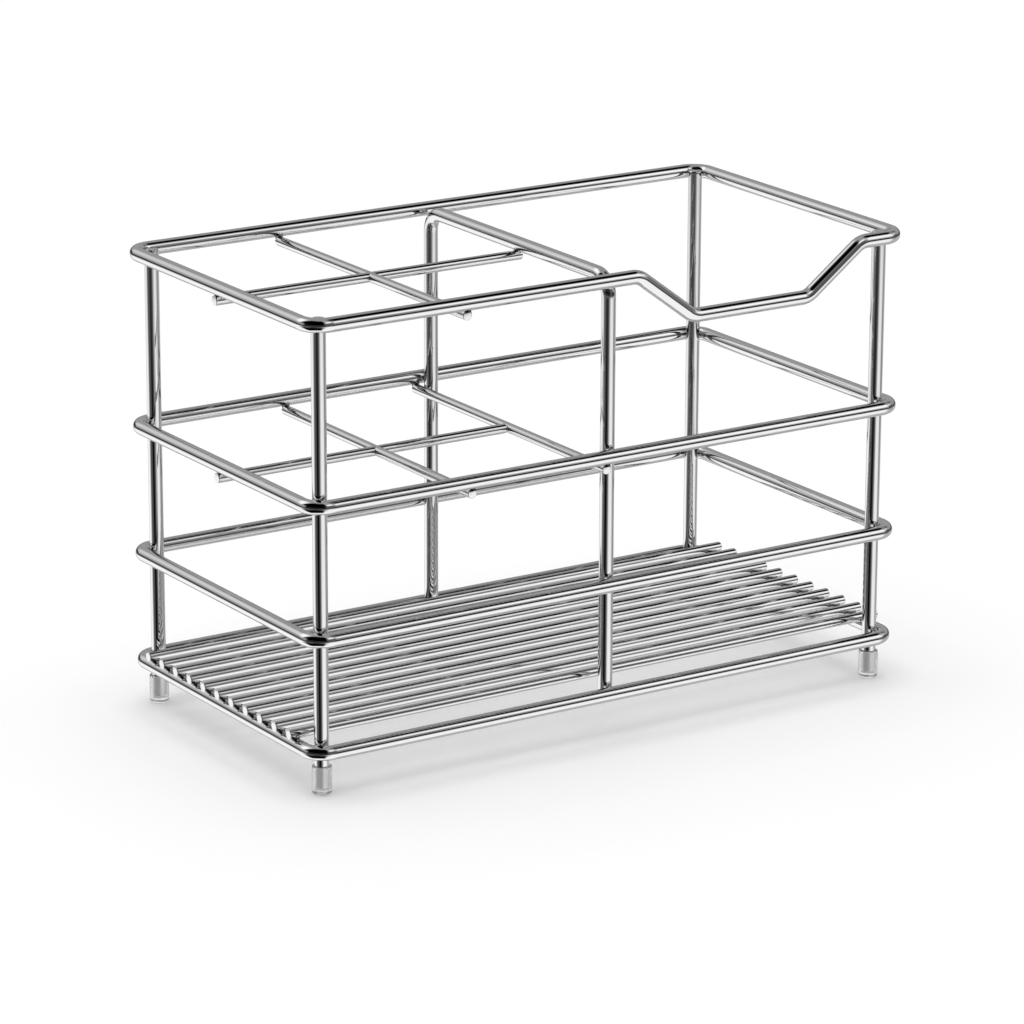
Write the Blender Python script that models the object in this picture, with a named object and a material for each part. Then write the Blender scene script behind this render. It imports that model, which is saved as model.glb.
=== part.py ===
"""Wire toothbrush holder for a washstand, as its separate wires and foot caps.

Four bent wire rings stand on four corner posts. A hoop divides the holder into a
bin and a toothbrush side, where two grids of thin rods mark out the slots, and a
row of thin rods is the floor. At each weld the crossing wire has a saddle, cut to
the round of the wire that carries it. Metres, +Z up, +X to the bin's end, and the
origin on the floor below the middle of the rings.
"""

import math

import bmesh
import bpy
from mathutils import Matrix, Vector

MM = 0.001

# Wire stock and welds
FRAME_WIRE = 4.0 * MM  # diameter of the rings, the posts and the hoop
GRID_WIRE = 2.8 * MM  # diameter of the thin rods
WELD_SETDOWN = 0.12 * MM  # how far a weld sinks one wire into the next
WELD_GAP = 0.3 * MM  # clearance between a saddle and the wire that lies in it

# Rings, between wire centres
RING_LENGTH = 190.0 * MM
RING_WIDTH = 97.7 * MM
CORNER_BEND = 5.5 * MM  # centre-line radius of the rings' corners
LOWER_RING_STEP = 31.3 * MM  # base ring up to the lower ring
UPPER_RING_STEP = 36.55 * MM  # lower ring up to the upper ring
RIM_STEP = 49.1 * MM  # upper ring up to the rim

# Foot caps, posts
CAP_HEIGHT = 7.9 * MM
CAP_WALL = 0.7 * MM  # outside of the cap beyond the post
CAP_FLOOR = 1.5 * MM
CAP_EDGE = 0.5 * MM  # round of the cap's bottom edge
CAP_LIP = 0.25 * MM  # chamfer of the cap's mouth
BARE_POST = 2.7 * MM  # post that shows between the cap and the base ring
POST_RISE = 1.05 * MM  # top of a post above the rim's centre line
POST_EDGE = 0.3 * MM  # chamfer of a post's top

# Divider hoop and the dip of the rim in front of the bin
BIN_LENGTH = 95.3 * MM  # hoop to the rim's end wire, between centres
HOOP_BEND = 5.5 * MM
LEG_END = 1.0 * MM  # end of a hoop leg below the base ring's centre line
DIP_FROM_HOOP = 7.0 * MM  # hoop to the corner where the rim starts to drop
DIP_FROM_END = 14.0 * MM  # corner where it is level again to the end wire
DIP_DEPTH = 13.3 * MM
DIP_SLOPE = math.radians(36.5)
DIP_BEND = 6.0 * MM

# Grids of thin rods
LOWER_FIRST_CELL = 48.9 * MM  # end wire to the lower grid's middle rod
LEG_SETDOWN = 0.7 * MM  # how far the end rod is pressed into the hoop's legs
LONG_ROD_OVERHANG = 1.3 * MM  # long rods past the centre of the end wire
HOOP_OVERHANG = 1.0 * MM  # upper long rod past the centre of the hoop
CROSS_ROD_OVERHANG = 0.15 * MM  # cross rods past the centres of the side wires
BASE_ROD_OVERHANG = 2.3 * MM  # base rods past the centres of the end wires
BASE_ROD_CLEARANCE = 2.6 * MM  # outermost base rod to the posts beside it
BASE_ROD_COUNT = 11

# Smoothness of the solids
FRAME_SIDES = 16
ROD_SIDES = 12
CAP_SIDES = 20
BEND_STEP = math.radians(90 / 8)
SHARP_EDGE = math.radians(40)
MERGE = 0.001 * MM  # points closer than this are one point

# Places that follow from the sizes above
FRAME_RADIUS = FRAME_WIRE / 2
ROD_RADIUS = GRID_WIRE / 2
END_X = RING_LENGTH / 2
SIDE_Y = RING_WIDTH / 2

BASE_Z = CAP_HEIGHT + BARE_POST + FRAME_RADIUS
LOWER_Z = BASE_Z + LOWER_RING_STEP
UPPER_Z = LOWER_Z + UPPER_RING_STEP
RIM_Z = UPPER_Z + RIM_STEP

# A post nests in the round of each corner, so its inset follows from the bend.
POST_INSET = CORNER_BEND - (CORNER_BEND - FRAME_WIRE + WELD_SETDOWN) / math.sqrt(2)
POST_X = END_X - POST_INSET
POST_Y = SIDE_Y - POST_INSET

HOOP_X = END_X - BIN_LENGTH
LEG_Y = SIDE_Y - FRAME_WIRE + WELD_SETDOWN
ROD_DROP = FRAME_RADIUS + ROD_RADIUS - WELD_SETDOWN  # between the centres of a rod and its ring
UPPER_CROSS_X = (HOOP_X - END_X) / 2
LOWER_MIDDLE_X = LOWER_FIRST_CELL - END_X
LOWER_END_X = HOOP_X - FRAME_RADIUS - ROD_RADIUS + LEG_SETDOWN
OUTER_ROD_Y = POST_Y - FRAME_RADIUS - ROD_RADIUS - BASE_ROD_CLEARANCE

CORNERS = {
    "front_left": (-1, -1),
    "front_right": (1, -1),
    "back_right": (1, 1),
    "back_left": (-1, 1),
}


def clear_scene():
    for item in list(bpy.data.objects):
        bpy.data.objects.remove(item)


def principled(name, colour, metallic, roughness):
    material = bpy.data.materials.new(name)
    material.use_nodes = True
    shader = material.node_tree.nodes["Principled BSDF"]
    shader.inputs["Base Color"].default_value = (*colour, 1)
    shader.inputs["Metallic"].default_value = metallic
    shader.inputs["Roughness"].default_value = roughness
    material.diffuse_color = (*colour, 1)
    return material


def place(name, mesh, location, holder, material):
    """Links a sub-part that belongs to the holder, with its origin at the location."""
    mesh.shade_smooth()
    mesh.set_sharp_from_angle(angle=SHARP_EDGE)
    mesh.materials.append(material)
    piece = bpy.data.objects.new(name, mesh)
    piece.location = location
    piece.parent = holder
    bpy.context.scene.collection.objects.link(piece)
    return piece


def place_cutter(name, mesh, location, holder):
    """Links a shape that only cuts other shapes."""
    cutter = bpy.data.objects.new(name, mesh)
    cutter.location = location
    cutter.parent = holder
    cutter.hide_render = True
    cutter.display_type = "WIRE"
    bpy.context.scene.collection.objects.link(cutter)
    return cutter


def cut(piece, cutter):
    boolean = piece.modifiers.new(cutter.name, "BOOLEAN")
    boolean.operation = "DIFFERENCE"
    boolean.solver = "EXACT"
    boolean.object = cutter


def arc_points(corner, before, after, radius):
    """The arc that rounds a corner, whose neighbours lie in the directions before and after."""
    turn = math.pi - before.angle(after)
    steps = max(2, round(turn / BEND_STEP))
    centre = corner + (before + after).normalized() * radius / math.cos(turn / 2)
    spoke = corner + before * radius * math.tan(turn / 2) - centre
    axis = after.cross(before)
    return [centre + Matrix.Rotation(turn * step / steps, 3, axis) @ spoke for step in range(steps + 1)]


def bent_path(bends, closed=False):
    """A wire's centre line through (x, y, z, bend radius) corners; radius 0 is a free end."""
    corners = [Vector(bend[:3]) for bend in bends]
    path = []
    for index, corner in enumerate(corners):
        radius = bends[index][3]
        if radius == 0 and not closed:
            path.append(corner)
            continue
        before = (corners[index - 1] - corner).normalized()
        after = (corners[(index + 1) % len(corners)] - corner).normalized()
        path += arc_points(corner, before, after, radius)
    return path


def wire_mesh(name, path, diameter, sides, closed=False):
    """Round wire along a centre line, with flat sheared ends where the path is open."""
    curve = bpy.data.curves.new(name, "CURVE")
    curve.dimensions = "3D"
    curve.bevel_depth = diameter / 2
    curve.bevel_resolution = sides // 2 - 2
    curve.use_fill_caps = True
    spline = curve.splines.new("POLY")
    spline.points.add(len(path) - 1)
    spline.use_cyclic_u = closed
    for knot, point in zip(spline.points, path):
        knot.co = (*point, 1)
    guide = bpy.data.objects.new(name, curve)
    mesh = bpy.data.meshes.new_from_object(guide)
    mesh.name = name
    bpy.data.curves.remove(curve)
    weld_caps(mesh)
    return mesh


def weld_caps(mesh):
    """Joins a curve's filled ends to its tube, which Blender leaves as loose faces."""
    shape = bmesh.new()
    shape.from_mesh(mesh)
    bmesh.ops.remove_doubles(shape, verts=shape.verts, dist=MERGE)
    shape.to_mesh(mesh)
    shape.free()


def turned_mesh(name, profile, sides):
    """A turned shape: the (radius, height) profile runs from the axis back to the axis."""
    shape = bmesh.new()
    points = [shape.verts.new((radius, 0, height)) for radius, height in profile]
    edges = [shape.edges.new(pair) for pair in zip(points, points[1:])]
    bmesh.ops.spin(
        shape, geom=points + edges, cent=(0, 0, 0), axis=(0, 0, 1), angle=math.tau, steps=sides, use_merge=True
    )
    bmesh.ops.remove_doubles(shape, verts=shape.verts, dist=MERGE)
    bmesh.ops.recalc_face_normals(shape, faces=shape.faces)
    mesh = bpy.data.meshes.new(name)
    shape.to_mesh(mesh)
    shape.free()
    return mesh


def box_mesh(name, low, high):
    shape = bmesh.new()
    bmesh.ops.create_cube(shape, size=1)
    low, high = Vector(low), Vector(high)
    for corner in shape.verts:
        corner.co = corner.co * (high - low) + (low + high) / 2
    mesh = bpy.data.meshes.new(name)
    shape.to_mesh(mesh)
    shape.free()
    return mesh


def grown(diameter):
    """Diameter of the cutter that leaves a saddle with its clearance round a wire."""
    return diameter + 2 * WELD_GAP


def ring_bends():
    """Corners of a level ring, from the front left one towards the front right one."""
    return [(x * END_X, y * SIDE_Y, 0, CORNER_BEND) for x, y in CORNERS.values()]


def rim_bends():
    """The ring's corners with the dip between the two front ones."""
    slope_run = DIP_DEPTH / math.tan(DIP_SLOPE)
    start = HOOP_X + DIP_FROM_HOOP
    end = END_X - DIP_FROM_END
    dip = [
        (start, -SIDE_Y, 0, DIP_BEND),
        (start + slope_run, -SIDE_Y, -DIP_DEPTH, DIP_BEND),
        (end - slope_run, -SIDE_Y, -DIP_DEPTH, DIP_BEND),
        (end, -SIDE_Y, 0, DIP_BEND),
    ]
    level = ring_bends()
    return level[:1] + dip + level[1:]


def make_rings(holder, steel):
    """The four rings, and for each a cutter that makes the saddles of what it carries."""
    outlines = {
        "base_ring": (BASE_Z, ring_bends()),
        "lower_ring": (LOWER_Z, ring_bends()),
        "upper_ring": (UPPER_Z, ring_bends()),
        "top_rim": (RIM_Z, rim_bends()),
    }
    cutters = {}
    for name, (height, bends) in outlines.items():
        path = bent_path(bends, closed=True)
        ring = wire_mesh(name, path, FRAME_WIRE, FRAME_SIDES, closed=True)
        place(name, ring, (0, 0, height), holder, steel)
        saddle = wire_mesh("saddle_" + name, path, grown(FRAME_WIRE), FRAME_SIDES, closed=True)
        cutters[name] = place_cutter("saddle_" + name, saddle, (0, 0, height), holder)
    return cutters


def make_posts(holder, steel, saddles):
    """Straight posts from inside the foot caps to just above the rim, with broken top edges."""
    foot = CAP_FLOOR + WELD_GAP
    top = RIM_Z + POST_RISE - foot
    profile = [
        (0, 0),
        (FRAME_RADIUS, 0),
        (FRAME_RADIUS, top - POST_EDGE),
        (FRAME_RADIUS - POST_EDGE, top),
        (0, top),
    ]
    for corner, (x, y) in CORNERS.items():
        name = "post_" + corner
        mesh = turned_mesh(name, profile, FRAME_SIDES)
        post = place(name, mesh, (x * POST_X, y * POST_Y, foot), holder, steel)
        for saddle in saddles.values():
            cut(post, saddle)


def make_foot_caps(holder, vinyl):
    """Blind caps pushed on the posts, with a rounded bottom edge."""
    outside = FRAME_RADIUS + CAP_WALL
    bore = FRAME_RADIUS + WELD_GAP
    profile = [(0, 0)]
    for step in range(5):
        angle = math.radians(90) * step / 4
        profile.append((outside - CAP_EDGE * (1 - math.sin(angle)), CAP_EDGE * (1 - math.cos(angle))))
    profile += [
        (outside, CAP_HEIGHT - CAP_LIP),
        (outside - CAP_LIP, CAP_HEIGHT),
        (bore, CAP_HEIGHT),
        (bore, CAP_FLOOR),
        (0, CAP_FLOOR),
    ]
    for corner, (x, y) in CORNERS.items():
        name = "foot_cap_" + corner
        mesh = turned_mesh(name, profile, CAP_SIDES)
        place(name, mesh, (x * POST_X, y * POST_Y, 0), holder, vinyl)


def make_hoop(holder, steel, saddles):
    """The divider: an inverted U whose legs stand inside the rings' long wires."""
    leg_bottom = BASE_Z - LEG_END - RIM_Z
    path = bent_path(
        [
            (0, -LEG_Y, leg_bottom, 0),
            (0, -LEG_Y, 0, HOOP_BEND),
            (0, LEG_Y, 0, HOOP_BEND),
            (0, LEG_Y, leg_bottom, 0),
        ]
    )
    place_at = (HOOP_X, 0, RIM_Z)
    hoop = place(
        "divider_hoop", wire_mesh("divider_hoop", path, FRAME_WIRE, FRAME_SIDES), place_at, holder, steel
    )
    for name in ("base_ring", "lower_ring", "upper_ring"):
        cut(hoop, saddles[name])
    saddle = wire_mesh("saddle_divider_hoop", path, grown(FRAME_WIRE), FRAME_SIDES)
    return place_cutter("saddle_divider_hoop", saddle, place_at, holder)


def straight_rod(name, start, end, holder, steel):
    """A thin rod between two points, with its origin at its middle."""
    start, end = Vector(start), Vector(end)
    middle = (start + end) / 2
    mesh = wire_mesh(name, [start - middle, end - middle], GRID_WIRE, ROD_SIDES)
    return place(name, mesh, middle, holder, steel)


def half_lap(over, under, x, height, holder):
    """Halves two rods into each other where they cross at the same height, over the middle line."""
    reach = ROD_RADIUS + WELD_GAP
    past_middle = WELD_GAP / 2
    name = "lap_" + under.name
    upper = box_mesh(name + "_above", (-reach, -reach, -past_middle), (reach, reach, GRID_WIRE))
    lower = box_mesh(name + "_below", (-reach, -reach, -GRID_WIRE), (reach, reach, past_middle))
    cut(under, place_cutter(name + "_above", upper, (x, 0, height), holder))
    cut(over, place_cutter(name + "_below", lower, (x, 0, height), holder))


def make_upper_grid(holder, steel, saddles, hoop_saddle):
    """A long rod and a cross rod hung under the rim."""
    height = RIM_Z - ROD_DROP
    left = -END_X - LONG_ROD_OVERHANG
    reach = SIDE_Y + CROSS_ROD_OVERHANG
    long_rod = straight_rod(
        "upper_grid_long_rod", (left, 0, height), (HOOP_X + HOOP_OVERHANG, 0, height), holder, steel
    )
    cut(long_rod, saddles["top_rim"])
    cut(long_rod, hoop_saddle)
    cross_rod = straight_rod(
        "upper_grid_cross_rod", (UPPER_CROSS_X, -reach, height), (UPPER_CROSS_X, reach, height), holder, steel
    )
    cut(cross_rod, saddles["top_rim"])
    half_lap(cross_rod, long_rod, UPPER_CROSS_X, height, holder)


def make_lower_grid(holder, steel, saddles, hoop_saddle):
    """Two cross rods under the upper ring and a long rod that butts against the second."""
    height = UPPER_Z - ROD_DROP
    left = -END_X - LONG_ROD_OVERHANG
    reach = SIDE_Y + CROSS_ROD_OVERHANG
    middle_rod = straight_rod(
        "lower_grid_middle_rod", (LOWER_MIDDLE_X, -reach, height), (LOWER_MIDDLE_X, reach, height), holder, steel
    )
    end_rod = straight_rod(
        "lower_grid_end_rod", (LOWER_END_X, -reach, height), (LOWER_END_X, reach, height), holder, steel
    )
    for cross_rod in (middle_rod, end_rod):
        cut(cross_rod, saddles["upper_ring"])
    cut(end_rod, hoop_saddle)
    long_rod = straight_rod("lower_grid_long_rod", (left, 0, height), (LOWER_END_X, 0, height), holder, steel)
    cut(long_rod, saddles["upper_ring"])
    half_lap(middle_rod, long_rod, LOWER_MIDDLE_X, height, holder)
    butt = wire_mesh(
        "butt_end_rod", [Vector((0, -reach, 0)), Vector((0, reach, 0))], grown(GRID_WIRE), ROD_SIDES
    )
    cut(long_rod, place_cutter("butt_end_rod", butt, (LOWER_END_X, 0, height), holder))


def make_base_rods(holder, steel, saddles):
    """The floor: thin rods across the base ring's two end wires, evenly spread between the posts."""
    height = BASE_Z + ROD_DROP
    reach = END_X + BASE_ROD_OVERHANG
    pitch = 2 * OUTER_ROD_Y / (BASE_ROD_COUNT - 1)
    for index in range(BASE_ROD_COUNT):
        y = index * pitch - OUTER_ROD_Y
        rod = straight_rod(f"base_rod_{index + 1:02d}", (-reach, y, height), (reach, y, height), holder, steel)
        cut(rod, saddles["base_ring"])


def main():
    clear_scene()
    holder = bpy.data.objects.new("toothbrush_holder", None)
    bpy.context.scene.collection.objects.link(holder)
    frame_steel = principled("polished_frame_wire", (0.80, 0.80, 0.81), 1.0, 0.06)
    rod_steel = principled("polished_grid_wire", (0.78, 0.78, 0.79), 1.0, 0.09)
    vinyl = principled("frosted_vinyl_cap", (0.56, 0.58, 0.57), 0.0, 0.45)
    saddles = make_rings(holder, frame_steel)
    make_posts(holder, frame_steel, saddles)
    make_foot_caps(holder, vinyl)
    hoop_saddle = make_hoop(holder, frame_steel, saddles)
    make_upper_grid(holder, rod_steel, saddles, hoop_saddle)
    make_lower_grid(holder, rod_steel, saddles, hoop_saddle)
    make_base_rods(holder, rod_steel, saddles)


main()
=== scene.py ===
# %% [markdown]
# # A wire toothbrush holder in bright steel
# The holder is a welded rack: four rings of 4 mm wire on four posts, a hoop that
# divides it, two grids of thin rods, and a floor of eleven more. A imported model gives
# every place and size. Here each wire is swept again with many more sides, the welds
# and the cut ends get their small forms, and the metal gets a studio to mirror.

# %% Load the frame
import math

import bpy
from mathutils import Matrix, Vector


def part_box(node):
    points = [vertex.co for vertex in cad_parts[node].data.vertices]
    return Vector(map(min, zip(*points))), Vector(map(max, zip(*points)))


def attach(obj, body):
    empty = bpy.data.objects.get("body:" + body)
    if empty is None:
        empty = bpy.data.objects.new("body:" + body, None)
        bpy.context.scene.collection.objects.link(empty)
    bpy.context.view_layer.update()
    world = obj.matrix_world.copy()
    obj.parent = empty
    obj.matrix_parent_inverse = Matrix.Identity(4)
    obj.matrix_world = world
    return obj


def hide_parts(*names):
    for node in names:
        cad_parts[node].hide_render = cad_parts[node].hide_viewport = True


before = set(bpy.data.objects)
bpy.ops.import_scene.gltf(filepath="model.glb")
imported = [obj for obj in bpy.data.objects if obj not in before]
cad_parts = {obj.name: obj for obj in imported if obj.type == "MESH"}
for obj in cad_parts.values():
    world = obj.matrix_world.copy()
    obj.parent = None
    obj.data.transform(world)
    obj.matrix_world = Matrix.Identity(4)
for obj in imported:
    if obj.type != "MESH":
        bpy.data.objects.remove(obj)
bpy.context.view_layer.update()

print("nodes in the frame:", len(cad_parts))

# %% [markdown]
# ## Sizes from the frame
# All the stock is round wire, so a node's box gives the wire's gauge and the run of
# its centre line. Only what a box can't tell, such as a bend radius, is written here
# as a size of its own, in millimetres.

# %% Read the gauges and the main places
MM = 0.001
X, Y, Z = range(3)


def low(node, axis):
    """A node's lowest coordinate along one axis."""
    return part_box(node)[0][axis]


def high(node, axis):
    """A node's highest coordinate along one axis."""
    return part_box(node)[1][axis]


def middle(node, axis):
    """The middle of a node's box along one axis, where the centre line of a straight wire lies."""
    return (low(node, axis) + high(node, axis)) / 2


FRAME_RADIUS = (high("base_ring", Z) - low("base_ring", Z)) / 2
ROD_RADIUS = (high("base_rod_01", Z) - low("base_rod_01", Z)) / 2
END_X = high("base_ring", X) - FRAME_RADIUS
SIDE_Y = high("base_ring", Y) - FRAME_RADIUS
RIM_Z = high("top_rim", Z) - FRAME_RADIUS
DIP_Z = low("top_rim", Z) + FRAME_RADIUS
HOOP_X = middle("divider_hoop", X)
LEG_Y = high("divider_hoop", Y) - FRAME_RADIUS
CORNERS = {
    "front_left": (-1, -1),
    "front_right": (1, -1),
    "back_right": (1, 1),
    "back_left": (-1, 1),
}
print(f"frame wire {2 * FRAME_RADIUS / MM:.2f} mm, thin rods {2 * ROD_RADIUS / MM:.2f} mm")
print(f"rings {2 * END_X / MM:.1f} x {2 * SIDE_Y / MM:.1f} mm between wire centres")

# %% [markdown]
# ## A centre line with bends
# A wire bender keeps the wire straight and turns it over a die, so a centre line is a
# chain of straight runs and arcs. Only the corners are named, and each gets its bend
# radius. An extra point close to each end of a bend keeps the shading of the straight
# run beside it even, because Blender blends the normals between neighbouring points.
# Long straight runs get points along them too, since very long thin faces shade badly.

# %% Turn corners into a smooth centre line
STEPS_IN_A_CORNER = 24
BEND_STEP = math.radians(90) / STEPS_IN_A_CORNER
FEWEST_STEPS = 2
SUPPORT = 0.3 * MM  # from an arc or an end to its extra point
LONGEST_FACE = 8 * MM


def arc_points(corner, before, after, radius):
    """The arc that rounds a corner, whose neighbours lie in the directions before and after."""
    turn = math.pi - before.angle(after)
    steps = max(FEWEST_STEPS, round(turn / BEND_STEP))
    centre = corner + (before + after).normalized() * radius / math.cos(turn / 2)
    spoke = corner + before * radius * math.tan(turn / 2) - centre
    axis = after.cross(before)
    arc = []
    for step in range(steps + 1):
        arc.append(centre + Matrix.Rotation(turn * step / steps, 3, axis) @ spoke)
    return [arc[0] + before * SUPPORT] + arc + [arc[-1] + after * SUPPORT]


def bent_path(bends):
    """Centre line through (corner, bend radius) pairs; a radius of 0 is a free end."""
    path = []
    for index, (corner, radius) in enumerate(bends):
        corner = Vector(corner)
        if radius == 0:
            path.append(corner)
            continue
        before = (Vector(bends[index - 1][0]) - corner).normalized()
        after = (Vector(bends[(index + 1) % len(bends)][0]) - corner).normalized()
        path += arc_points(corner, before, after, radius)
    return path


def divided(path, closed=False):
    """The same centre line with points along its long straight runs."""
    fine = []
    for start, end in zip(path, path[1:] + path[:1] if closed else path[1:]):
        pieces = max(1, math.ceil((end - start).length / LONGEST_FACE))
        fine += [start.lerp(end, piece / pieces) for piece in range(pieces)]
    return fine if closed else fine + [path[-1]]


print("steps in a square corner:", STEPS_IN_A_CORNER)

# %% [markdown]
# ## Cut ends
# A shear leaves a sharp burr on wire, and a tumbling barrel takes it off. So a free end
# isn't a plain disc: its edge is a small quarter circle. A station here is a point of
# the centre line with the wire's radius at it. A rounded end is then just a few
# stations whose radius shrinks towards the tip, and no bevel has to be added later.

# %% Round the free ends
EDGE_STEPS = 6


def rounded_end(tip, inward, radius, edge):
    """Stations (point, radius) from the side of a wire round to its end face."""
    stations = [(tip + inward * (edge + SUPPORT), radius)]
    for step in range(EDGE_STEPS + 1):
        angle = math.radians(90) * step / EDGE_STEPS
        point = tip + inward * edge * (1 - math.sin(angle))
        stations.append((point, radius - edge * (1 - math.cos(angle))))
    return stations


def open_stations(path, radius, edge):
    """Stations of an open wire with two rounded ends."""
    ahead = (path[1] - path[0]).normalized()
    back = (path[-2] - path[-1]).normalized()
    start = rounded_end(path[0], ahead, radius, edge)[::-1]
    between = [(point, radius) for point in path[1:-1]]
    end = rounded_end(path[-1], back, radius, edge)
    return start + between + end


print("stations in a rounded end:", EDGE_STEPS + 2)

# %% [markdown]
# ## Sweeping round wire
# Blender's curves can carry a round bevel, but their ends stay sharp, and they keep no
# record of where a point lay before the wire was bent. A sweep written here gives
# both. Rings of points follow the centre line without twisting, and an attribute named
# unbent holds each point's place on the straight wire, in metres, which the marks of
# the drawing die need.

# %% Sweep rings of points along a centre line
WIRE_SIDES = 48


def directions_along(path, closed):
    """The wire's direction at each point, halfway between the two runs that meet there."""
    directions = []
    for index, point in enumerate(path):
        ahead = path[(index + 1) % len(path)] - point
        behind = point - path[index - 1]
        if not closed and index == 0:
            behind = ahead
        if not closed and index == len(path) - 1:
            ahead = behind
        directions.append((ahead.normalized() + behind.normalized()).normalized())
    return directions


def sweep(name, stations, closed=False):
    """A mesh of round wire through (point, radius) stations."""
    path = [point for point, radius in stations]
    directions = directions_along(path, closed)
    side = directions[0].orthogonal().normalized()
    points, unbent = [], []
    along = 0
    for index, (point, radius) in enumerate(stations):
        if index:
            along += (point - path[index - 1]).length
            side = directions[index - 1].rotation_difference(directions[index]) @ side
        other = directions[index].cross(side)
        for turn in range(WIRE_SIDES):
            angle = math.tau * turn / WIRE_SIDES
            points.append(point + radius * (math.cos(angle) * side + math.sin(angle) * other))
            unbent.append((radius * math.cos(angle), radius * math.sin(angle), along))
    length = along + (path[0] - path[-1]).length
    faces, places = [], []
    for index in range(len(stations) if closed else len(stations) - 1):
        row = index * WIRE_SIDES
        after = (index + 1) % len(stations) * WIRE_SIDES
        for turn in range(WIRE_SIDES):
            beside = (turn + 1) % WIRE_SIDES
            face = (row + turn, row + beside, after + beside, after + turn)
            faces.append(face)
            places += [unbent[corner] for corner in face]
            if after == 0:  # where a ring closes, the wire's length goes on to its end
                places[-2] = (*places[-2][:2], length)
                places[-1] = (*places[-1][:2], length)
    if not closed:
        last = len(points) - WIRE_SIDES
        start_face = tuple(reversed(range(WIRE_SIDES)))
        end_face = tuple(range(last, last + WIRE_SIDES))
        faces += [start_face, end_face]
        places += [unbent[corner] for corner in start_face + end_face]
    mesh = bpy.data.meshes.new(name)
    mesh.from_pydata(points, [], faces)
    layer = mesh.attributes.new("unbent", "FLOAT_VECTOR", "CORNER")
    for entry, value in zip(layer.data, places):
        entry.vector = value
    return mesh


print("sides of a wire:", WIRE_SIDES)

# %% [markdown]
# ## Nodes in one line
# A material here is a chain of a few nodes. One small function adds any node, sets
# its options and sets or links its inputs, so each chain reads from top to bottom.
# Sums with sockets need many Math nodes, so they get a shorter form of their own.

# %% Helpers for nodes and colours
def add_node(tree, kind, inputs=None, **options):
    """Adds a node; inputs maps a socket's name or number to a value or to another socket."""
    made = tree.nodes.new(kind)
    for option, value in options.items():
        setattr(made, option, value)
    for socket, value in (inputs or {}).items():
        if isinstance(value, bpy.types.NodeSocket):
            tree.links.new(value, made.inputs[socket])
        else:
            made.inputs[socket].default_value = value
    return made


def calculate(tree, operation, *values):
    """The result of one Math node; a value is a number or a socket."""
    return add_node(tree, "ShaderNodeMath", dict(enumerate(values)), operation=operation).outputs[0]


def linear(hex_colour):
    """An sRGB hex colour as the linear colour with alpha that a socket takes."""
    channels = [int(hex_colour[start : start + 2], 16) / 255 for start in (1, 3, 5)]
    curved = [c / 12.92 if c <= 0.04045 else ((c + 0.055) / 1.055) ** 2.4 for c in channels]
    return (*curved, 1)


def empty_material(name):
    """A new node material with nothing in it but its output."""
    material = bpy.data.materials.new(name)
    material.use_nodes = True
    tree = material.node_tree
    tree.nodes.clear()
    return material, tree, tree.nodes.new("ShaderNodeOutputMaterial")


print("white in linear light:", linear("#FFFFFF"))

# %% [markdown]
# ## Noise, roughness and relief
# Real surfaces are never equally smooth all over. In both finishes of this object a
# noise stands for the marks of making, and the same noise drives two things: how
# rough the surface is, and how high it stands. So the dull places are also the
# scratched ones, as on the real thing.

# %% Helpers for the marks of making
NOISE_LOW, NOISE_HIGH = 0.3, 0.7  # nearly all values of a noise lie between these
CRISP_NOISE, SOFT_NOISE = 2, 1  # finer layers added to a noise


def noise(tree, place, scale, detail):
    """A noise over a place in metres; the scale is its grains in one metre."""
    inputs = {"Vector": place, "Scale": scale, "Detail": detail}
    return add_node(tree, "ShaderNodeTexNoise", inputs).outputs["Fac"]


def spread(tree, value, smoothest, dullest):
    """The roughness that a noise gives, between the smoothest and the dullest."""
    inputs = {
        "Value": value,
        "From Min": NOISE_LOW,
        "From Max": NOISE_HIGH,
        "To Min": smoothest,
        "To Max": dullest,
    }
    return add_node(tree, "ShaderNodeMapRange", inputs).outputs["Result"]


def relief(tree, height, depth, strength=1, over=None):
    """The normal that a noise gives to the surface, if asked over another relief."""
    inputs = {"Height": height, "Strength": strength, "Distance": depth}
    if over:
        inputs["Normal"] = over
    return add_node(tree, "ShaderNodeBump", inputs).outputs["Normal"]


def coat(tree, output, inputs):
    """Ends a material with the one shader that both finishes use."""
    shader = add_node(tree, "ShaderNodeBsdfPrincipled", inputs)
    tree.links.new(shader.outputs["BSDF"], output.inputs["Surface"])


print("a noise is taken to lie between", NOISE_LOW, "and", NOISE_HIGH)

# %% [markdown]
# ## Electropolished stainless steel
# Racks like this are welded from drawn stainless wire and then electropolished: acid
# and current take off the high spots, so the metal mirrors its surroundings almost
# without blur. What is left of the drawing die are faint lines along the wire. They
# are about 0.05 mm apart, too fine to show at arm's length, so they are drawn 0.4 mm
# apart. A noise stretched along the straight wire makes them, and it moves both the
# relief and the roughness. A slower noise is the orange peel that polishing leaves.
# The thin rods are drawn further, so they are a shade duller. Weld metal lies deep in
# a notch, where the current hardly reaches: it stays rough. Its dark colour is painted shade for the
# notch round each weld.

# %% Make the metal
DRAW_MARK_SPACING = 0.4 * MM
DRAW_MARK_LENGTH = 40 * MM
DRAW_MARK_DEPTH = 0.0004 * MM
PEEL_SIZE = 5 * MM
PEEL_DEPTH = 0.0015 * MM


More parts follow.
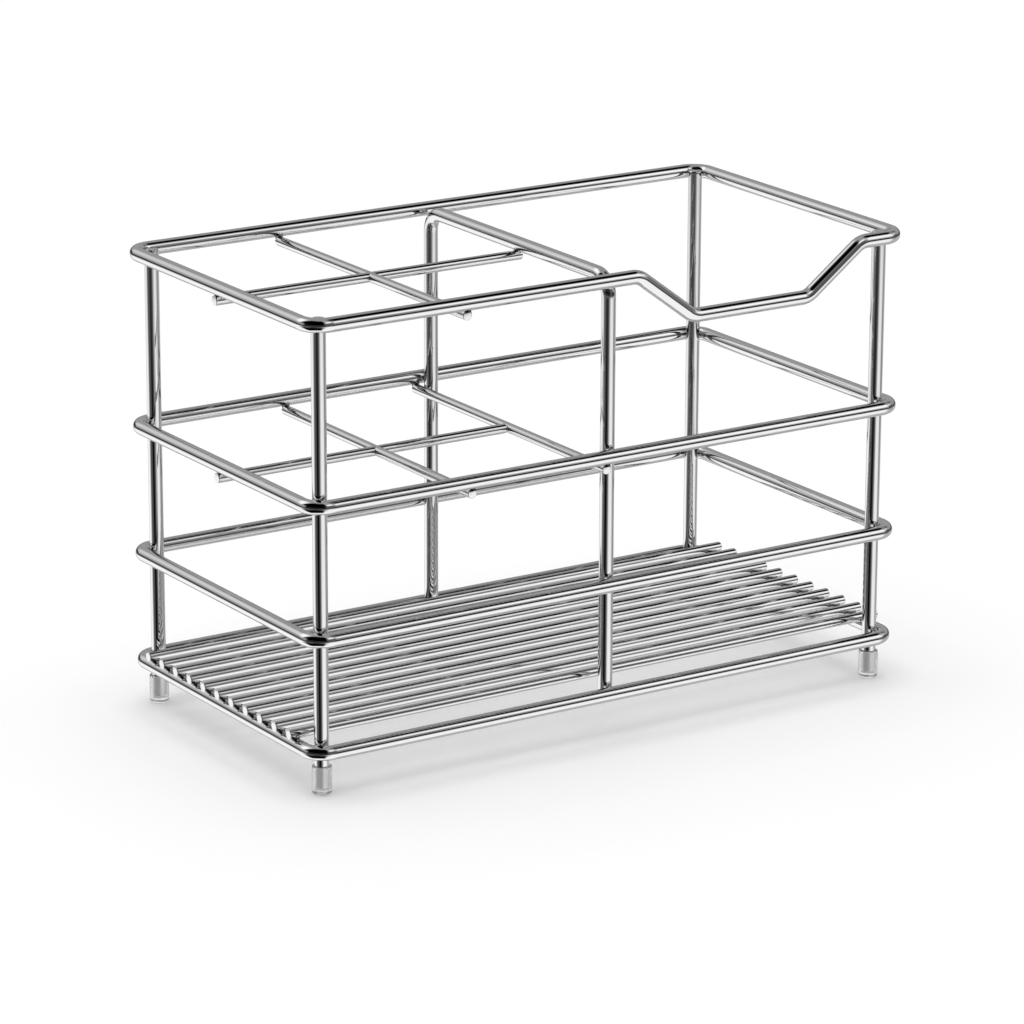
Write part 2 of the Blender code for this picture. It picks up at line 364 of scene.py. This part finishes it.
def electropolished_steel(name, colour, smoothest, dullest):
    """Steel whose roughness goes from smoothest to dullest across the marks of the die."""
    material, tree, output = empty_material(name)
    place = add_node(tree, "ShaderNodeAttribute", attribute_name="unbent").outputs["Vector"]
    per_metre = (1 / DRAW_MARK_SPACING, 1 / DRAW_MARK_SPACING, 1 / DRAW_MARK_LENGTH)
    stretched = add_node(
        tree, "ShaderNodeVectorMath", {0: place, 1: per_metre}, operation="MULTIPLY"
    )
    marks = noise(tree, stretched.outputs["Vector"], 1, CRISP_NOISE)
    peel = noise(tree, place, 1 / PEEL_SIZE, SOFT_NOISE)
    lines = relief(tree, marks, DRAW_MARK_DEPTH)
    finish = {
        "Base Color": linear(colour),
        "Metallic": 1,
        "Roughness": spread(tree, marks, smoothest, dullest),
        "Normal": relief(tree, peel, PEEL_DEPTH, over=lines),
    }
    coat(tree, output, finish)
    return material


frame_steel = electropolished_steel(
    "electropolished_steel_frame", "#DFDFE0", smoothest=0.02, dullest=0.04
)
rod_steel = electropolished_steel("electropolished_steel_rod", "#DDDDDE", smoothest=0.02, dullest=0.05)
# the weld metal's dark colour is painted shade: it darkens the notch round each weld
weld_steel_painted_shade = electropolished_steel("weld_metal_painted_shade", "#747477", smoothest=0.1, dullest=0.18)
print("metals:", frame_steel.name, rod_steel.name, weld_steel_painted_shade.name)

# %% [markdown]
# ## Soft frosted vinyl
# The feet are caps of clear plasticised vinyl, moulded with a fine spark-eroded
# texture that scatters the light: the steel inside shows through as a dark, blurred
# core. Vinyl's index of refraction is about 1.53. Transmission with a rough surface
# gives the frosting, and what is left to ordinary diffuse light makes it milky. Spark
# erosion leaves a grain of about 0.03 mm. It is drawn 0.25 mm wide, so that it shows.

# %% Make the vinyl
FROST_GRAIN = 0.25 * MM
FROST_DEPTH = 0.01 * MM
FROST_STRENGTH = 0.2
FROST_SMOOTHEST, FROST_DULLEST = 0.18, 0.25
VINYL_IOR = 1.53
VINYL_CLEARNESS = 0.93


def frosted_vinyl(name, colour):
    """Clear vinyl with a grainy, frosted surface."""
    material, tree, output = empty_material(name)
    place = add_node(tree, "ShaderNodeTexCoord").outputs["Object"]
    grain = noise(tree, place, 1 / FROST_GRAIN, CRISP_NOISE)
    finish = {
        "Base Color": linear(colour),
        "Roughness": spread(tree, grain, FROST_SMOOTHEST, FROST_DULLEST),
        "IOR": VINYL_IOR,
        "Transmission Weight": VINYL_CLEARNESS,
        "Normal": relief(tree, grain, FROST_DEPTH, FROST_STRENGTH),
    }
    coat(tree, output, finish)
    return material


vinyl = frosted_vinyl("frosted_vinyl", "#FCFCFC")
print("soft plastic:", vinyl.name)

# %% [markdown]
# ## One way to place a piece
# Every piece belongs to the one body of the part, gets its material, and stands for
# the plainer solid of the same wire.

# %% Link a mesh as a piece of the holder
SHARP_EDGE = math.radians(40)


def place_piece(name, mesh, material, node=None):
    """Links a mesh as a piece that rides on the part and stands for a node of the frame."""
    mesh.shade_smooth()
    mesh.set_sharp_from_angle(angle=SHARP_EDGE)
    mesh.materials.append(material)
    made = bpy.data.objects.new(name, mesh)
    bpy.context.scene.collection.objects.link(made)
    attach(made, "root")
    if node:
        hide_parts(node)
    return made


print("edges stay sharp above", round(math.degrees(SHARP_EDGE)), "degrees")

# %% [markdown]
# ## Four bent rings
# The rings are bent from one length each and butt welded shut. Three are level
# rectangles. The fourth is the rim, which dips in front of the bin so that a hand can
# reach a comb or a tube. Its four bends are made over a slightly wider die than the
# corners are, and the two slopes between them are straight.

# %% Sweep the rings
CORNER_BEND = 5.5 * MM
DIP_FROM_HOOP = 7.0 * MM  # hoop to the corner where the rim starts to drop
DIP_FROM_END = 14.0 * MM  # corner where it is level again to the end wire
DIP_SLOPE = math.radians(36.5)
DIP_BEND = 6.0 * MM


def ring_bends(height):
    """The four corners of a level ring."""
    return [((x * END_X, y * SIDE_Y, height), CORNER_BEND) for x, y in CORNERS.values()]


def rim_bends():
    """The rim's corners with the dip between its two front ones."""
    slope_run = (RIM_Z - DIP_Z) / math.tan(DIP_SLOPE)
    start = HOOP_X + DIP_FROM_HOOP
    end = END_X - DIP_FROM_END
    dip = [
        ((start, -SIDE_Y, RIM_Z), DIP_BEND),
        ((start + slope_run, -SIDE_Y, DIP_Z), DIP_BEND),
        ((end - slope_run, -SIDE_Y, DIP_Z), DIP_BEND),
        ((end, -SIDE_Y, RIM_Z), DIP_BEND),
    ]
    level = ring_bends(RIM_Z)
    return level[:1] + dip + level[1:]


LEVEL_RINGS = ("base_ring", "lower_ring", "upper_ring")
outlines = {node: ring_bends(middle(node, Z)) for node in LEVEL_RINGS}
outlines["top_rim"] = rim_bends()
for node, bends in outlines.items():
    stations = [(point, FRAME_RADIUS) for point in divided(bent_path(bends), closed=True)]
    mesh = sweep(node, stations, closed=True)
    ring = place_piece(node + "_wire", mesh, frame_steel, node)
    print(ring.name, "points along the wire:", len(stations))

# %% [markdown]
# ## Posts and the hoop
# The posts are cut to length and tumbled, so their tops have a soft edge. The hoop is
# an inverted U, and its legs end just below the base ring's wire, to which they are
# welded. Both are the same open sweep.

# %% Sweep the posts and the hoop
POST_EDGE = 0.6 * MM
LEG_EDGE = 0.3 * MM
HOOP_BEND = 5.5 * MM


def open_wire(node, bends, radius, edge, material):
    """The piece of an open wire, whose cut ends are rounded by edge."""
    stations = open_stations(divided(bent_path(bends)), radius, edge)
    return place_piece(node + "_wire", sweep(node, stations), material, node)


for corner in CORNERS:
    node = "post_" + corner
    x, y = middle(node, X), middle(node, Y)
    bends = [((x, y, low(node, Z)), 0), ((x, y, high(node, Z)), 0)]
    open_wire(node, bends, FRAME_RADIUS, POST_EDGE, frame_steel)

leg_end = low("divider_hoop", Z)
hoop_bends = [
    ((HOOP_X, -LEG_Y, leg_end), 0),
    ((HOOP_X, -LEG_Y, RIM_Z), HOOP_BEND),
    ((HOOP_X, LEG_Y, RIM_Z), HOOP_BEND),
    ((HOOP_X, LEG_Y, leg_end), 0),
]
open_wire("divider_hoop", hoop_bends, FRAME_RADIUS, LEG_EDGE, frame_steel)
print("posts:", len(CORNERS))
print("top of the hoop's centre line:", round(RIM_Z / MM, 2), "mm")

# %% [markdown]
# ## Thin rods
# The rods of the two grids and of the floor are straight 2.8 mm wire. A shear cuts
# them, and the tumbling barrel rounds the cut. Their centre lines come straight from
# their boxes. The rod of the lower grid that butts against the grid's end rod is
# longer here than its solid, because its weld closes the gap that the solids keep.

# %% Sweep the rods
ROD_EDGE = 0.2 * MM
WELD_SETDOWN = 0.12 * MM  # how far a weld sinks one wire into the next


def rod_ends(node):
    """The two ends of a straight rod's centre line, which lies along its box's longest side."""
    corner_low, corner_high = (Vector(corner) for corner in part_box(node))
    centre = (corner_low + corner_high) / 2
    size = corner_high - corner_low
    axis = max((X, Y, Z), key=lambda index: size[index])
    half = Vector((0, 0, 0))
    half[axis] = size[axis] / 2
    return centre - half, centre + half


rod_nodes = [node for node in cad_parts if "_rod" in node]
for node in sorted(rod_nodes):
    start, end = rod_ends(node)
    if node == "lower_grid_long_rod":
        end.x = low("lower_grid_end_rod", X) + WELD_SETDOWN
    open_wire(node, [(start, 0), (end, 0)], ROD_RADIUS, ROD_EDGE, rod_steel)
print("thin rods:", len(rod_nodes))

# %% [markdown]
# ## Foot caps
# A cap is turned in one profile: a floor, a rounded bottom edge, a straight wall and
# a rounded mouth. The soft vinyl is stretched over the post, so the bore hugs the
# wire. A hair of air stays between them, because vinyl that touched the steel would
# need one shared surface, and light has to leave the vinyl before it meets the metal.

# %% Turn the foot caps
CAP_SIDES = 72
CAP_FLOOR = 1.5 * MM
CAP_EDGE = 0.85 * MM
CAP_LIP = 0.35 * MM
CAP_FIT = 0.03 * MM  # air between the wire and the vinyl


def quarter_round(centre, radius, start):
    """Points of a quarter circle in the (radius, height) plane, turning left from start degrees."""
    points = []
    for step in range(EDGE_STEPS + 1):
        angle = math.radians(start + 90 * step / EDGE_STEPS)
        points.append((centre[0] + radius * math.cos(angle), centre[1] + radius * math.sin(angle)))
    return points


def turned(name, profile, sides):
    """A mesh turned about Z from (radius, height) points that start and end on the axis."""
    points = [Vector((0, 0, profile[0][1])), Vector((0, 0, profile[-1][1]))]
    poles = len(points)
    rings = profile[1:-1]
    for radius, height in rings:
        for turn in range(sides):
            angle = math.tau * turn / sides
            points.append(Vector((radius * math.cos(angle), radius * math.sin(angle), height)))
    faces = []
    for turn in range(sides):
        beside = (turn + 1) % sides
        last = poles + (len(rings) - 1) * sides
        faces.append((0, poles + beside, poles + turn))
        faces.append((1, last + turn, last + beside))
        for ring in range(len(rings) - 1):
            row = poles + ring * sides
            faces.append((row + turn, row + beside, row + sides + beside, row + sides + turn))
    mesh = bpy.data.meshes.new(name)
    mesh.from_pydata(points, [], faces)
    return mesh


for corner in CORNERS:
    node = "foot_cap_" + corner
    outside = (high(node, X) - low(node, X)) / 2
    height = high(node, Z)
    bore = FRAME_RADIUS + CAP_FIT
    profile = [(0, 0)]
    profile += quarter_round((outside - CAP_EDGE, CAP_EDGE), CAP_EDGE, -90)
    profile.append((outside, height - CAP_LIP - SUPPORT))
    profile += quarter_round((outside - CAP_LIP, height - CAP_LIP), CAP_LIP, 0)
    profile += [(bore, height), (bore, CAP_FLOOR), (0, CAP_FLOOR)]
    cap = place_piece(node + "_vinyl", turned(node, profile, CAP_SIDES), vinyl, node)
    cap.location = (middle(node, X), middle(node, Y), 0)
print(f"cap {2 * outside / MM:.2f} mm across and {height / MM:.2f} mm high")

# %% [markdown]
# ## Welds
# Resistance welding presses one wire into the other and leaves a small smooth fillet
# in the notch round the contact. The fillet stands where the two wires are a fixed
# distance apart. For each direction round the contact, a few halvings find where that
# distance is reached. In a ring's corner the post is hugged by the bend, so there the
# notch opens more slowly.

# %% Find how far a weld reaches
WELD_NOTCH = 0.32 * MM  # distance between the wires at the fillet's outer edge
WIDEST_WELD = 0.98  # most that a weld reaches, as a share of the thinner wire's radius
HALVINGS = 30


def round_fall(radius, aside):
    """How far a wire's surface falls away from its crest at a distance aside."""
    return radius - math.sqrt(max(radius * radius - aside * aside, 0))


def weld_gap(reach, angle, carried, carrier, hug):
    """Distance between two touching wires, at a reach from their contact.

    The angle is measured from the carrier's direction. hug is the inner radius of a
    carrier that bends round the carried wire, or 0 for a straight one.
    """
    along, across = reach * math.cos(angle), reach * math.sin(angle)
    gap = round_fall(carried, along) + round_fall(carrier, across) - WELD_SETDOWN
    return gap - round_fall(hug, along) if hug else gap


def weld_reach(angle, carried, carrier, hug):
    """How far from the contact the notch is as wide as the fillet."""
    near, far = 0, min(carried, carrier) * WIDEST_WELD
    for halving in range(HALVINGS):
        reach = (near + far) / 2
        if weld_gap(reach, angle, carried, carrier, hug) < WELD_NOTCH:
            near = reach
        else:
            far = reach
    return near


frame_weld = weld_reach(0, FRAME_RADIUS, FRAME_RADIUS, 0)
print(f"a weld of two frame wires reaches {frame_weld / MM:.2f} mm")

# %% [markdown]
# ## The wall of a weld
# Molten metal draws itself into the notch, so the fillet's wall is hollow. It is a tube
# of a few rows of points from one wire to the other, narrowest halfway. Both ends go a
# little way into the wires, where nobody sees them. The fillets are small, so those of
# one kind of contact are joined into one piece.

# %% Shape the fillets
WELD_HOLLOW = 0.22  # how far the fillet's wall curves in, as a share of its reach
WELD_TURNS = 32
WELD_ROWS = 8
WELD_ROOT = 0.35 * MM  # how far a weld's hidden ends go into each wire


def weld_points(contact, towards, along, carried, carrier, hug):
    """Points and faces of a fillet between a carrier wire and the wire that it carries."""
    across = towards.cross(along)
    points = []
    for row in range(WELD_ROWS + 1):
        share = row / WELD_ROWS
        for turn in range(WELD_TURNS):
            angle = math.tau * turn / WELD_TURNS
            reach = weld_reach(angle, carried, carrier, hug)
            along_by, across_by = reach * math.cos(angle), reach * math.sin(angle)
            hugged = round_fall(hug, along_by) if hug else 0
            bottom = hugged - round_fall(carrier, across_by)
            top = round_fall(carried, along_by) - WELD_SETDOWN
            height = bottom + (top - bottom) * share
            drawn_in = 1 - WELD_HOLLOW * math.sin(math.pi * share)
            if row == 0:
                height -= WELD_ROOT
            if row == WELD_ROWS:
                height += WELD_ROOT
            flat = (along * along_by + across * across_by) * drawn_in
            points.append(contact + flat + towards * height)
    faces = [tuple(reversed(range(WELD_TURNS)))]
    for row in range(WELD_ROWS):
        for turn in range(WELD_TURNS):
            beside = (turn + 1) % WELD_TURNS
            start = row * WELD_TURNS
            after = start + WELD_TURNS
            faces.append((start + turn, start + beside, after + beside, after + turn))
    faces.append(tuple(range(WELD_ROWS * WELD_TURNS, (WELD_ROWS + 1) * WELD_TURNS)))
    return points, faces


def weld_piece(name, welds):
    """One piece of the fillets given as (contact, towards, along, carried, carrier, hug)."""
    points, faces = [], []
    for weld in welds:
        more, sides = weld_points(*weld)
        faces += [tuple(corner + len(points) for corner in side) for side in sides]
        points += more
    mesh = bpy.data.meshes.new(name)
    mesh.from_pydata(points, [], faces)
    layer = mesh.attributes.new("unbent", "FLOAT_VECTOR", "CORNER")
    for entry, loop in zip(layer.data, mesh.loops):
        entry.vector = mesh.vertices[loop.vertex_index].co
    return place_piece(name, mesh, weld_steel_painted_shade)


print("points in a fillet:", (WELD_ROWS + 1) * WELD_TURNS)

# %% [markdown]
# ## Where the welds are
# Every contact of two wires is welded: the floor's rods to the ends of the base ring,
# the posts into the corners, the hoop's legs to the long sides, and the rods of the
# grids under the rings and under the hoop. Each entry of a list gives the contact's
# place, the direction towards the carried wire, the carrier's direction and three radii.

# %% List the welds
along_x, along_y, up = Vector((1, 0, 0)), Vector((0, 1, 0)), Vector((0, 0, 1))

floor_welds = []
for node in sorted(rod_nodes):
    if not node.startswith("base_rod"):
        continue
    for x in (-END_X, END_X):
        contact = Vector((x, middle(node, Y), middle("base_ring", Z) + FRAME_RADIUS))
        floor_welds.append((contact, up, along_y, ROD_RADIUS, FRAME_RADIUS, 0))
weld_piece("floor_welds", floor_welds)

INSIDE_OF_BEND = CORNER_BEND - FRAME_RADIUS
post_welds = []
for corner, (x, y) in CORNERS.items():
    outward = Vector((x, y, 0)).normalized()
    tangent = up.cross(outward)
    post = Vector((middle("post_" + corner, X), middle("post_" + corner, Y), 0))
    touch = post + outward * (FRAME_RADIUS - WELD_SETDOWN)
    for ring in outlines:
        height = RIM_Z if ring == "top_rim" else middle(ring, Z)
        contact = touch + up * height
        post_welds.append((contact, -outward, tangent, FRAME_RADIUS, FRAME_RADIUS, INSIDE_OF_BEND))
weld_piece("post_welds", post_welds)

hoop_welds = []
for side in (-1, 1):
    for ring in LEVEL_RINGS:
        contact = Vector((HOOP_X, side * (SIDE_Y - FRAME_RADIUS), middle(ring, Z)))
        hoop_welds.append((contact, -side * along_y, along_x, FRAME_RADIUS, FRAME_RADIUS, 0))
weld_piece("hoop_welds", hoop_welds)

grid_welds = []
for grid, height in (("upper_grid", RIM_Z), ("lower_grid", middle("upper_ring", Z))):
    crest = height - FRAME_RADIUS
    grid_welds.append((Vector((-END_X, 0, crest)), -up, along_y, ROD_RADIUS, FRAME_RADIUS, 0))
    for node in rod_nodes:
        if not node.startswith(grid) or "long" in node:
            continue
        for side in (-1, 1):
            contact = Vector((middle(node, X), side * SIDE_Y, crest))
            grid_welds.append((contact, -up, along_x, ROD_RADIUS, FRAME_RADIUS, 0))
under_hoop = Vector((HOOP_X, 0, RIM_Z - FRAME_RADIUS))
grid_welds.append((under_hoop, -up, along_y, ROD_RADIUS, FRAME_RADIUS, 0))
weld_piece("grid_welds", grid_welds)
print("welds:", len(floor_welds) + len(post_welds) + len(hoop_welds) + len(grid_welds))

# %% [markdown]
# ## The camera
# The place and the lens were worked out from the edges of the wires in the
# photograph: a long lens, a little above the rack, from the front left.

# %% Set up the camera
CAMERA_PLACE = (-0.71058, -1.09086, 0.44619)
CAMERA_LENS = 170.7  # in millimetres, as is the sensor
SENSOR_WIDTH = 36
NEAREST_SEEN = 0.01
CAMERA_YAW = math.radians(33.0147)  # from +Y towards +X
CAMERA_PITCH = math.radians(16.8403)  # downwards
CAMERA_ROLL = math.radians(-0.21)

lens = bpy.data.cameras.new("camera")
lens.lens = CAMERA_LENS
lens.sensor_width = SENSOR_WIDTH
lens.clip_start = NEAREST_SEEN
camera = bpy.data.objects.new("camera", lens)
turned_to = Matrix.Rotation(-CAMERA_YAW, 4, "Z")
tipped = Matrix.Rotation(math.radians(90) - CAMERA_PITCH, 4, "X")
rolled = Matrix.Rotation(-CAMERA_ROLL, 4, "Z")
camera.matrix_world = Matrix.Translation(CAMERA_PLACE) @ turned_to @ tipped @ rolled
bpy.context.scene.collection.objects.link(camera)
bpy.context.scene.camera = camera
print("camera looks along", [round(value, 4) for value in -camera.matrix_world.col[2].xyz])

# %% [markdown]
# ## The studio that the metal mirrors
# Polished wire has hardly any colour of its own: the eye reads it by the pale panels
# and black flags around it. They could be real planes with light on them. Here they
# are painted on the world as soft-edged patches of direction, which gives every wire
# the same clean bands and no noise. Azimuth 0 is the front of the rack, 90 its bin
# end, and 180 the back. Elevation 0 is the horizon, and -90 the floor underneath.
# Each patch lies over the ones before it. They were found by trial, in many renders
# held beside the photograph.

# %% Name the panels and flags
# (azimuth, elevation), (half width, half height), (soft edge sideways, upwards), brightness;
# all in degrees but the brightness, where 1 is white
STUDIO_PATCHES = {
    "white floor": ((0, -60), (300, 48), (5, 5), 1.2),
    "shaded floor behind": ((120, -50), (63, 45), (12, 10), 0.55),
    "dark line round the room": ((0, -2), (300, 6.5), (5, 4), 0.04),
    "left softbox": ((-145, 41), (27, 18), (4, 11), 1.28),
    "back left glow": ((-166, 25), (12, 16), (11, 5), 0.76),
    "right softbox": ((50, 32), (15, 13), (3, 5), 1.25),
    "right softbox's end": ((76, 29), (11, 6), (4, 4), 0.8),
    "upper right softbox": ((14, 43), (16, 15), (6, 5), 1.15),
    "overhead flag": ((84, 60), (32, 12), (6, 5), 0),
    "right flag": ((104, 36), (11, 7), (8, 5), 0.12),
    "low right flag": ((74, 10), (14, 7), (6, 5), 0.12),
    "dark camera side": ((-63, 45), (57, 35), (8, 8), 0),
    "dim front floor": ((-62, -22), (51, 15), (18, 5), 0.11),
    "black front floor": ((-62, -46), (46, 20), (8, 5), 0),
    "front right wall": ((10, 12), (20, 26), (6, 8), 0.12),
    "black line at the front": ((-52, 6), (46, 7), (8, 5), 0.01),
    "back flag": ((-170, 2), (12, 10), (8, 6), 0.06),
    "low left wall": ((-110, 15), (10, 12), (8, 6), 0.4),
    "right window frame": ((32, 2), (8, 6), (4, 4), 0.02),
    "darkest front floor": ((-54, -19), (16, 6), (12, 4), 0),
    "right corner": ((63, -15), (18, 2), (14, 5), 0.18),
    "bright strip of floor": ((13, -15), (13, 4), (20, 5), 1.22),
    "top of the back wall": ((129, 46), (13, 13), (8, 8), 0.34),
}
print("panels and flags:", len(STUDIO_PATCHES))

# %% [markdown]
# ## Painting the patches
# The world's shader gets a direction as three numbers. An arc tangent and an arc sine
# turn them into azimuth and elevation in degrees. A patch is the product of two smooth
# steps, one from its middle sideways and one upwards, and a Mix node lays it over what
# is there already. The azimuth is wrapped, so that a patch can lie across the back.

# %% Paint the studio
STUDIO_WALLS = 0.38


def studio_light(tree):
    """The studio's brightness in each direction, as one node socket."""
    view = add_node(tree, "ShaderNodeTexCoord")
    axes = add_node(tree, "ShaderNodeSeparateXYZ", {"Vector": view.outputs["Generated"]})
    front = calculate(tree, "MULTIPLY", axes.outputs["Y"], -1)
    azimuth = calculate(tree, "DEGREES", calculate(tree, "ARCTAN2", axes.outputs["X"], front))
    elevation = calculate(tree, "DEGREES", calculate(tree, "ARCSINE", axes.outputs["Z"]))
    walls = add_node(tree, "ShaderNodeValue")
    walls.outputs["Value"].default_value = STUDIO_WALLS
    shown = walls.outputs["Value"]
    for name, (place, halves, softs, brightness) in STUDIO_PATCHES.items():
        sideways = calculate(tree, "WRAP", calculate(tree, "SUBTRACT", azimuth, place[0]), 180, -180)
        upwards = calculate(tree, "SUBTRACT", elevation, place[1])
        steps = []
        for offset, half, soft in zip((sideways, upwards), halves, softs):
            inputs = {
                "Value": calculate(tree, "ABSOLUTE", offset),
                "From Min": half - soft,
                "From Max": half + soft,
                "To Min": 1,
                "To Max": 0,
            }
            step = add_node(tree, "ShaderNodeMapRange", inputs, interpolation_type="SMOOTHSTEP")
            steps.append(step.outputs["Result"])
        inputs = {"Factor": calculate(tree, "MULTIPLY", *steps), "A": shown, "B": brightness}
        shown = add_node(tree, "ShaderNodeMix", inputs, label=name).outputs["Result"]
    return shown


print("walls between the patches:", STUDIO_WALLS)

# %% [markdown]
# ## Three worlds in one
# The camera meets a plain white world, matt surfaces get an even light, and only rays
# that a wire has mirrored see the studio. The node Light Path tells them apart. A ray
# that a post mirrors inside a cap and that then leaves through the vinyl counts as
# mirrored too, or the caps would hold plain grey glass. Some white is mixed into it
# there, as milky plastic does.

# %% Tell the rays apart
VINYL_MILK = 0.25  # how much white the milky vinyl mixes into the mirrored studio behind it
ONE_MIRROR = 0.5  # a ray that has been mirrored once has a count above this
WHITE = (1, 1, 1, 1)


def looked_at(tree, ray):
    """1 for what the camera sees, straight or through the vinyl, and else 0."""
    return calculate(
        tree, "MAXIMUM", ray.outputs["Is Camera Ray"], ray.outputs["Is Transmission Ray"]
    )


def studio_share(tree, ray):
    """How much of the studio a ray sees: all of it once mirrored, less of it through the vinyl."""
    mirrored_once = calculate(tree, "GREATER_THAN", ray.outputs["Glossy Depth"], ONE_MIRROR)
    clearness = calculate(
        tree, "MULTIPLY_ADD", ray.outputs["Is Transmission Ray"], -VINYL_MILK, 1
    )
    return calculate(tree, "MULTIPLY", mirrored_once, clearness)


def blend(tree, share, below, above):
    """A Mix Shader node's result: the share says how much the shader above covers."""
    return add_node(tree, "ShaderNodeMixShader", {0: share, 1: below, 2: above}).outputs["Shader"]


def shine(tree, colour, strength=1):
    """The light that the world sends out."""
    inputs = {"Color": colour, "Strength": strength}
    return add_node(tree, "ShaderNodeBackground", inputs).outputs["Background"]


print("a ray through the vinyl sees", 1 - VINYL_MILK, "of the studio")

# %% [markdown]
# ## The world
# The first blend gives the camera white and everything matt the even light. The second
# lays the studio over both for mirrored rays.

# %% Build the world
AMBIENT = 0.3

world = bpy.data.worlds.new("studio")
bpy.context.scene.world = world
world.use_nodes = True
tree = world.node_tree
tree.nodes.clear()
ray = add_node(tree, "ShaderNodeLightPath")
plain = blend(tree, looked_at(tree, ray), shine(tree, WHITE, AMBIENT), shine(tree, WHITE))
studio = blend(tree, studio_share(tree, ray), plain, shine(tree, studio_light(tree)))
add_node(tree, "ShaderNodeOutputWorld", {"Surface": studio})
print("nodes in the world:", len(tree.nodes))

# %% [markdown]
# ## Lamp and floor
# One very wide lamp, almost overhead, stands for a large softbox and leaves a soft
# shadow under the rack. The floor is a plain pale sheet, lifted a little towards white
# where the camera sees it. Mirrored rays pass it, because the studio holds a floor of
# its own.

# %% Build the lamp and the floor
LAMP_POWER = 2.38
LAMP_SOFTNESS = math.radians(75)
LAMP_AZIMUTH = math.radians(-160)
LAMP_ELEVATION = math.radians(84)
FLOOR_HALF = 3.0
FLOOR_TONE = "#FBFBFB"
FLOOR_LIFT = 0.22  # how far the picture's floor is lifted towards pure white

lamp_light = bpy.data.lights.new("overhead_softbox", "SUN")
lamp_light.energy = LAMP_POWER
lamp_light.angle = LAMP_SOFTNESS
lamp = bpy.data.objects.new("overhead_softbox", lamp_light)
lamp.rotation_euler = (math.radians(90) - LAMP_ELEVATION, 0, LAMP_AZIMUTH)
lamp.visible_glossy = False
bpy.context.scene.collection.objects.link(lamp)

floor_corners = [(x * FLOOR_HALF, y * FLOOR_HALF, 0) for x, y in CORNERS.values()]
floor_mesh = bpy.data.meshes.new("floor")
floor_mesh.from_pydata(floor_corners, [], [tuple(range(len(floor_corners)))])
floor_paint, tree, output = empty_material("matt_white_sheet")
sheet = add_node(tree, "ShaderNodeBsdfDiffuse", {"Color": linear(FLOOR_TONE)}).outputs["BSDF"]
glow = add_node(tree, "ShaderNodeEmission", {"Color": WHITE, "Strength": 1}).outputs["Emission"]
clear = add_node(tree, "ShaderNodeBsdfTransparent", {"Color": WHITE}).outputs["BSDF"]
ray = add_node(tree, "ShaderNodeLightPath")
lift = calculate(tree, "MULTIPLY", looked_at(tree, ray), FLOOR_LIFT)
lifted = blend(tree, lift, sheet, glow)
half_clear = blend(tree, studio_share(tree, ray), lifted, clear)
tree.links.new(half_clear, output.inputs["Surface"])
floor_mesh.materials.append(floor_paint)
floor = bpy.data.objects.new("floor", floor_mesh)
floor.visible_glossy = False
bpy.context.scene.collection.objects.link(floor)
print("lamp", LAMP_POWER, "and a floor", 2 * FLOOR_HALF, "m wide")

# %% [markdown]
# ## Finish
# The picture keeps the colours as they are written.

# %% Finish
bpy.context.scene.view_settings.view_transform = "Standard"
